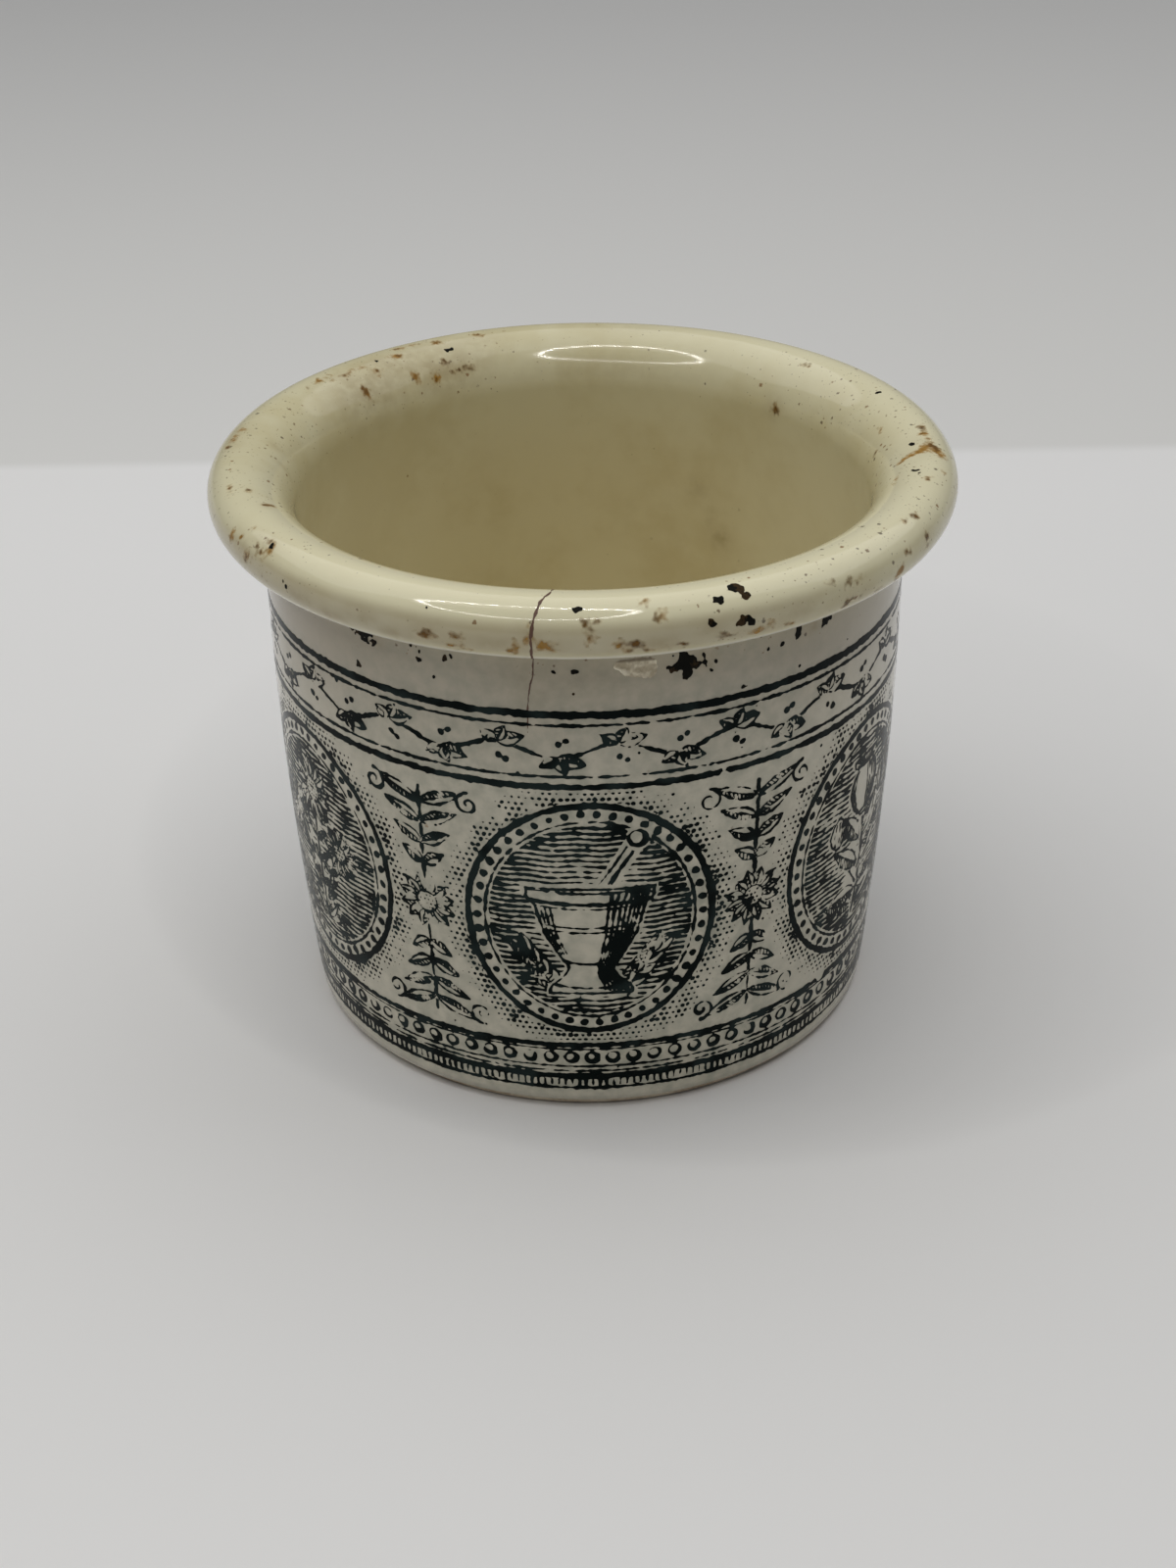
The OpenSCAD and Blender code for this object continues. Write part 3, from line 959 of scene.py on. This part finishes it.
# %% The hairline crack
crack_plate = Plate((-6.0, -0.5), (27.0, 45.2), 0.035)
crack_course = np.array([(-4.6, 45.0), (-4.7, 43.2), (-5.2, 41.5), (-6.3, 40.6), (-6.8, 39.9), (-7.1, 39.1),
                         (-7.3, 38.2), (-7.4, 37.1), (-7.5, 36.4), (-8.1, 35.2), (-8.4, 33.0), (-8.7, 31.9),
                         (-9.2, 31.0), (-9.6, 29.8), (-9.7, 28.2)])
crack_way = np.linspace(0, len(crack_course) - 1, 120)
crack_turns = np.arange(len(crack_course))
crack_points = np.stack([np.interp(crack_way, crack_turns, side) for side in crack_course.T], 1)
crack_points[:, 0] = np.radians(crack_points[:, 0]) * mark_r
crack_points[:, 0] += 0.05 * np.convolve(rng.standard_normal(124), np.ones(5) / 5, "valid")
crack_widths = [0.06, 0.09, 0.13, 0.17, 0.15, 0.07]
crack_plate.stroke(crack_points, np.interp(crack_points[:, 1], [27, 33, 36, 38, 41, 45.2], crack_widths))
crack_plate.ink += 0.018 * crack_plate.clouds(0.12, rng)
crack = lift_ink(crack_plate, "hairline_crack", on_rim, mark_proud, {})

# %% The flaked chip
chip_plate = Plate((1.0, 5.6), (30.6, 33.6), 0.04)
chip_top = 33.0
for spot in ((8.0, 32.5, 1.45, 0.66), (9.6, 32.4, 0.85, 0.66), (6.6, 32.55, 0.9, 0.46)):
    blot(chip_plate, *spot)
chip_plate.ink += 0.05 * chip_plate.clouds(0.12, rng) + 0.06 * chip_plate.clouds(0.3, rng)
chip_v = chip_plate.v[:, None] + 0 * chip_plate.ink
chip_plate.ink = np.minimum(chip_plate.ink, chip_top - chip_v + 0.03 * chip_plate.clouds(0.1, rng, 3.0))
chip_rough = 0.8 * chip_plate.clouds(0.12, rng, 4.0) + 0.3 * chip_plate.clouds(0.08, rng)
# painted shadow along the top edge of the chip, where the glaze above overhangs
chip_ledge_shadow = smooth(chip_top - 0.24, chip_top - 0.1, chip_v)


def on_chip(u, v, proud):
    """The chip's layered face: the rim's plate, raised by soft noise that fades at the chip's edge."""
    cell = chip_plate.nearest(u, v)
    rough = np.clip(0.5 + 0.5 * chip_rough[cell], 0, 1.5)
    return on_rim(u, v, proud + 0.3 * rough * np.clip(chip_plate.ink[cell], 0, 0.3))


# the chip's colour follows its relief: partly the body's own grain, partly painted shade that darkens sunk
# layers and lightens raised ones
chip_values = {"crumb_and_shade": 0.5 + 0.3 * chip_rough, "painted_ledge_shadow": chip_ledge_shadow}
chip = lift_ink(chip_plate, "flaked_chip", on_chip, mark_proud, chip_values)

# %% [markdown]
# Finishes are node trees. Writing each Math node by hand is slow, so a socket is wrapped in a small
# class: adding or multiplying two sockets adds the node, and any other node comes from one method.


# %% Shader sums
class Wire:
    """A socket of a finish that takes part in sums."""

    def __init__(self, finish, socket):
        self.finish = finish
        self.socket = socket

    def sum(self, operation, first, second):
        return self.finish.add("ShaderNodeMath", {"operation": operation}, {0: first, 1: second})

    def __add__(self, other):
        return self.sum("ADD", self, other)

    def __mul__(self, other):
        return self.sum("MULTIPLY", self, other)

    def __sub__(self, other):
        return self.sum("SUBTRACT", self, other)

    def __rsub__(self, other):
        return self.sum("SUBTRACT", other, self)

    __radd__ = __add__
    __rmul__ = __mul__


class Finish:
    """A material: its Principled shader, object coordinates in millimetres, and one way to add any node."""

    def __init__(self, name, **constants):
        self.material = bpy.data.materials.new(name)
        self.material.use_nodes = True
        self.tree = self.material.node_tree
        self.shader = self.tree.nodes["Principled BSDF"]
        self.wear(**constants)
        here = self.add("ShaderNodeTexCoord", {}, {}, "Object")
        self.place = self.add("ShaderNodeVectorMath", {"operation": "SCALE"}, {0: here, "Scale": 1 / MM})

    def set(self, node, sockets):
        for key, value in sockets.items():
            if isinstance(value, Wire):
                self.tree.links.new(value.socket, node.inputs[key])
            else:
                node.inputs[key].default_value = value

    def add(self, kind, settings, sockets, output=0):
        """A node of this kind: its settings first, then the values or links of its sockets."""
        node = self.tree.nodes.new(kind)
        for key, value in settings.items():
            setattr(node, key, value)
        self.set(node, sockets)
        return Wire(self, node.outputs[output])

    def value(self, name):
        """A number that the piece carries at each point."""
        return self.add("ShaderNodeAttribute", {"attribute_name": name}, {}, "Fac")

    def along(self, axis):
        """How far a point lies along one axis, in mm."""
        return self.add("ShaderNodeSeparateXYZ", {}, {0: self.place}, axis)

    def noise(self, grain, detail=2.0):
        """Soft noise around one half, with features about a grain in mm across."""
        sockets = {"Vector": self.place, "Scale": 1 / grain, "Detail": detail}
        return self.add("ShaderNodeTexNoise", {}, sockets, "Fac")

    def step(self, value, low, high):
        """A smooth step from 0 at low to 1 at high."""
        settings = {"interpolation_type": "SMOOTHSTEP"}
        return self.add("ShaderNodeMapRange", settings, {"Value": value, "From Min": low, "From Max": high})

    def mix(self, share, *colours):
        """From the first colour to the second by a share."""
        first, second = [part if isinstance(part, Wire) else (*part, 1.0) for part in colours]
        return self.add("ShaderNodeMix", {"data_type": "RGBA"}, {0: share, 6: first, 7: second}, 2)

    def bump(self, height, depth):
        """A normal from a height between 0 and 1 that stands for a depth in mm."""
        sockets = {"Height": height, "Distance": depth * MM, "Strength": 1.0}
        return self.add("ShaderNodeBump", {}, sockets, "Normal")

    def wear(self, **sockets):
        """Sets the shader's constants, and links what changes over the surface."""
        self.set(self.shader, {key.replace("_", " "): value for key, value in sockets.items()})


# %% [markdown]
# Old lead glaze is cream rather than white: thick in hollows, where it is yellower, and thin on edges,
# where the body shows pale through it; the pale line at the arris is also a painted highlight where the
# rounded edge catches the light. On the wall it is greyer, because the print's ink has bled into it.
# Under the rim and low on the front of the bead the colour holds painted shade, and the crest of the bead
# and the inner side walls hold painted light. Brown specks come from a cell pattern: only some cells get
# a speck, and the pot says where they crowd.

# %% The glaze finish
coat = Finish("aged_cream_glaze", IOR=1.5)
broad = coat.noise(7.0, 3.0)
fine = coat.noise(0.9, 3.0)
uneven = coat.step(broad + 0.35 * coat.noise(1.3, 4.0), 0.5, 0.9)
cream = coat.mix(uneven, (0.705, 0.66, 0.445), (0.635, 0.575, 0.352))
yellow = coat.mix(uneven, (0.68, 0.61, 0.385), (0.615, 0.535, 0.312))
grey_wall = coat.mix(uneven, (0.67, 0.628, 0.508), (0.615, 0.573, 0.458))
base = coat.mix(coat.value("pooled"), cream, yellow)
# painted light on the crest of the bead and on the inner side walls
base = coat.mix(coat.value("painted_light") * 0.85, base, (0.82, 0.777, 0.55))
base = coat.mix(coat.value("outside"), base, grey_wall)
# painted shade: the colour darkens under the rim and on the low front of the bead, where less light falls
base = coat.mix(coat.value("painted_rim_shade") * 0.5, base, (0.38, 0.315, 0.235))
# pale arris line: thin glaze over the body, and a painted highlight
base = coat.mix(coat.value("thin_edge_glint") * 0.75, base, (0.97, 0.935, 0.82))
haze_share = coat.value("ink_haze") * 0.7 * coat.step(fine, 0.2, 0.8)
base = coat.mix(haze_share, base, (0.25, 0.265, 0.205))
stain_share = coat.value("stain") * (0.4 + 0.6 * coat.step(fine, 0.25, 0.65))
base = coat.mix(stain_share * 0.65, base, (0.34, 0.26, 0.125))

grit = coat.noise(0.13, 2.0)
cluster = coat.step(coat.noise(3.0, 2.0), 0.35, 0.7)
crowding = coat.value("crowd") * (0.25 + 1.3 * cluster)
# pitch of the cells in mm, size of the largest speck, strength
for pitch, largest, strength in ((0.62, 0.17, 0.85), (0.4, 0.14, 0.6), (0.25, 0.14, 0.5)):
    grid = {"Vector": coat.place, "Scale": 1 / pitch, "Randomness": 1.0}
    cells, pick = (coat.add("ShaderNodeTexVoronoi", {}, grid, output) for output in ("Distance", "Color"))
    luck, size, tint = (coat.add("ShaderNodeSeparateColor", {}, {"Color": pick}, channel)
                        for channel in ("Red", "Green", "Blue"))
    chosen = coat.step(crowding - luck, 0.0, 0.05)
    speck = 1 - coat.step(cells + 0.35 * grit - largest * size * size, 0.18, 0.30)
    speck_colour = coat.mix(tint, (0.28, 0.155, 0.06), (0.10, 0.085, 0.06))
    base = coat.mix(chosen * speck * strength, base, speck_colour)
coat.wear(
    Base_Color=base,
    Roughness=0.05 + 0.06 * broad + 0.2 * stain_share,
    Normal=coat.bump(coat.noise(1.6, 1.0), 0.007),
)
print("glaze finish with", len(coat.tree.nodes), "nodes")

# %% [markdown]
# The ink lies under the glass, so it shines a little. It is blue-black where it is thick, and a slate
# grey where it is thin. The marks on the rim are drier: iron is nearly black with a rusty cast, the
# crack is brown dirt, and the chip shows the pale body, with painted shade in its sunk layers and a
# painted shadow under its top edge.

# %% The print's finish
ink = Finish("blue_black_print", IOR=1.5, Specular_IOR_Level=0.05)
ink_share = ink.step(ink.value("thin_ink") + 0.25 * ink.noise(0.3), 0.45, 1.15)
ink.wear(
    Base_Color=ink.mix(ink_share, (0.001, 0.004, 0.0035), (0.014, 0.024, 0.023)),
    Roughness=0.13 + 0.06 * ink.noise(2.0),
)

# %% The finishes of the marks
iron = Finish("burnt_iron", Specular_IOR_Level=0.07)
grain = iron.noise(0.16, 3.0)
rusty = iron.step(iron.value("rust") * grain, 0.28, 0.5)
iron.wear(
    Base_Color=iron.mix(rusty, (0.005, 0.005, 0.003), (0.042, 0.025, 0.010)),
    Roughness=0.35 + 0.3 * grain,
    Normal=iron.bump(grain, 0.02),
)

soaked = Finish("soaked_rust", IOR=1.5, Specular_IOR_Level=0.2)
grain = soaked.noise(0.2, 3.0)
deep = soaked.step(soaked.value("depth") + 0.3 * grain, 0.10, 0.68)
dark = soaked.step(soaked.value("rust") + 2 * soaked.value("depth") + grain, 1.0, 2.1)
soaked.wear(
    Base_Color=soaked.mix(dark, (0.48, 0.26, 0.045), (0.16, 0.075, 0.010)),
    Roughness=0.12 + 0.25 * deep,
    Alpha=deep * 0.9,
)

dirt = Finish("crack_dirt")
grain = dirt.noise(0.5, 2.0)
dirt.wear(
    Base_Color=dirt.mix(grain, (0.075, 0.035, 0.022), (0.17, 0.085, 0.055)),
    Roughness=0.5 + 0.2 * grain,
)

flake = Finish("bare_chip")
grain = flake.noise(0.16, 3.0)
# grain of the body and painted shade of the chip's layers
crumb_and_shade = flake.step(flake.value("crumb_and_shade") + 0.6 * (grain - 0.5), 0.15, 0.85)
body = flake.mix(crumb_and_shade, (0.53, 0.455, 0.32), (0.95, 0.88, 0.70))
flake.wear(
    # painted shadow under the chip's top edge
    Base_Color=flake.mix(flake.value("painted_ledge_shadow") * 0.75, body, (0.17, 0.13, 0.085)),
    Roughness=0.75 + 0.2 * crumb_and_shade,
    Normal=flake.bump(grain, 0.03),
)

# %% [markdown]
# Under the pot the glaze was wiped away, so the foot ring is bare, dry clay. A century of shelves has
# rubbed brown dirt into it, most of all along its outer edge. The CAD ring has the right shape, so it
# stays and gets only this finish. The dirt is set by height and by noise.

# %% The bare foot
clay = Finish("bare_biscuit")
grain = clay.noise(0.35, 4.0)
patch = clay.noise(3.0, 3.0)
dirty = clay.step(patch + 0.5 * grain, 0.55, 0.95)
edge_dirt = 1 - clay.step(clay.along("Z") + 0.4 * patch, 0.3, 1.3)
biscuit = clay.mix(grain, (0.62, 0.54, 0.40), (0.74, 0.68, 0.55))
clay.wear(
    Base_Color=clay.mix(dirty * 0.6 + 0.25 * edge_dirt, biscuit, (0.24, 0.15, 0.08)),
    Roughness=0.7 + 0.2 * grain,
    Normal=clay.bump(grain, 0.06),
)


# %% Put the finishes on and let the pieces ride
def dress(piece, finish):
    """Gives a piece one finish in place of any it has."""
    piece.data.materials.clear()
    piece.data.materials.append(finish.material)


marks = [(spots, iron), (stains, soaked), (crack, dirt), (chip, flake)]
cad_pieces = [(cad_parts["earthenware_body"], clay), (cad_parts["base_glaze"], coat)]
for piece, finish in [(glaze, coat)] + marks + [(piece, ink) for piece in prints] + cad_pieces:
    dress(piece, finish)

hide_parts("glaze_coat")
for piece in [glaze, spots, stains, crack, chip] + prints:
    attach(piece, "root")
print("pieces riding on the pot:", 5 + len(prints))

# %% [markdown]
# The pot stands on pale paper. Behind it the paper turns up and falls into shade; that shade is painted
# on the flat floor as a slow change of tone, and a floor with nothing upright leaves the other views
# clear. In front of the fold the paper holds painted light: it grows lighter towards the fold.

# %% Floor
floor_half = 1.5
floor_mesh = bpy.data.meshes.new("floor")
corners = [(-floor_half, -floor_half, 0), (floor_half, -floor_half, 0), (floor_half, floor_half, 0),
           (-floor_half, floor_half, 0)]
floor_mesh.from_pydata(corners, [], [(0, 1, 2, 3)])
floor = bpy.data.objects.new("floor", floor_mesh)
bpy.context.scene.collection.objects.link(floor)

fold_y = 89.0
paper = Finish("pale_paper", Roughness=0.6)
depth = paper.along("Y")
behind = paper.step(depth, fold_y - 1.5, fold_y + 1.5)
# painted shade: the paper behind the fold darkens further back, standing for upright paper in shadow
upright = paper.mix(paper.step(depth, fold_y, fold_y + 260), (0.82, 0.82, 0.81), (0.68, 0.68, 0.68))
# painted light: the lying paper grows lighter towards the fold
lying = paper.mix(paper.step(depth, -10, fold_y), (0.83, 0.83, 0.835), (0.94, 0.94, 0.945))
paper.wear(Base_Color=paper.mix(behind, lying, upright))
dress(floor, paper)

# %% [markdown]
# The light comes from above: a wide soft ceiling, and a ring of small lamps such as a magnifier has, a
# little in front and to the left. On the bead the ring shrinks to a fine lens of light with a dash for
# each lamp. A ring of emitting mesh would do as well, but lamps never show to the camera in the other
# views.


# %% Light
def panel(name, place, size, power, tint, spin=0.0):
    """A rectangular light that faces straight down, spun about the vertical."""
    light = bpy.data.lights.new(name, "AREA")
    light.shape = "RECTANGLE"
    light.size, light.size_y = size
    light.energy = power
    light.color = tint
    lamp = bpy.data.objects.new(name, light)
    bpy.context.scene.collection.objects.link(lamp)
    lamp.matrix_world = Matrix.Translation(place) @ Matrix.Rotation(spin, 4, "Z")


panel("ceiling", (0.05, 0.21, 0.46), (1.4, 0.6), 2.2, (1.0, 0.993, 0.975))
lamps = 40
ring_middle = np.array([-0.068, -0.138, 0.300])
ring_radius = 0.125
for number in range(lamps):
    spin = 2 * np.pi * number / lamps
    place = ring_middle + ring_radius * np.array([np.cos(spin), np.sin(spin), 0])
    panel(f"ring_lamp_{number}", place, (0.005, 0.010), 0.0112, (1.0, 0.98, 0.94), spin)

world = bpy.data.worlds.new("room")
world.use_nodes = True
background = world.node_tree.nodes["Background"].inputs
background["Color"].default_value = (0.95, 0.97, 1.0, 1.0)
background["Strength"].default_value = 0.10
bpy.context.scene.world = world
bpy.context.scene.view_settings.view_transform = "Standard"
print("a ceiling light, a ring of", lamps, "lamps and a dim room")
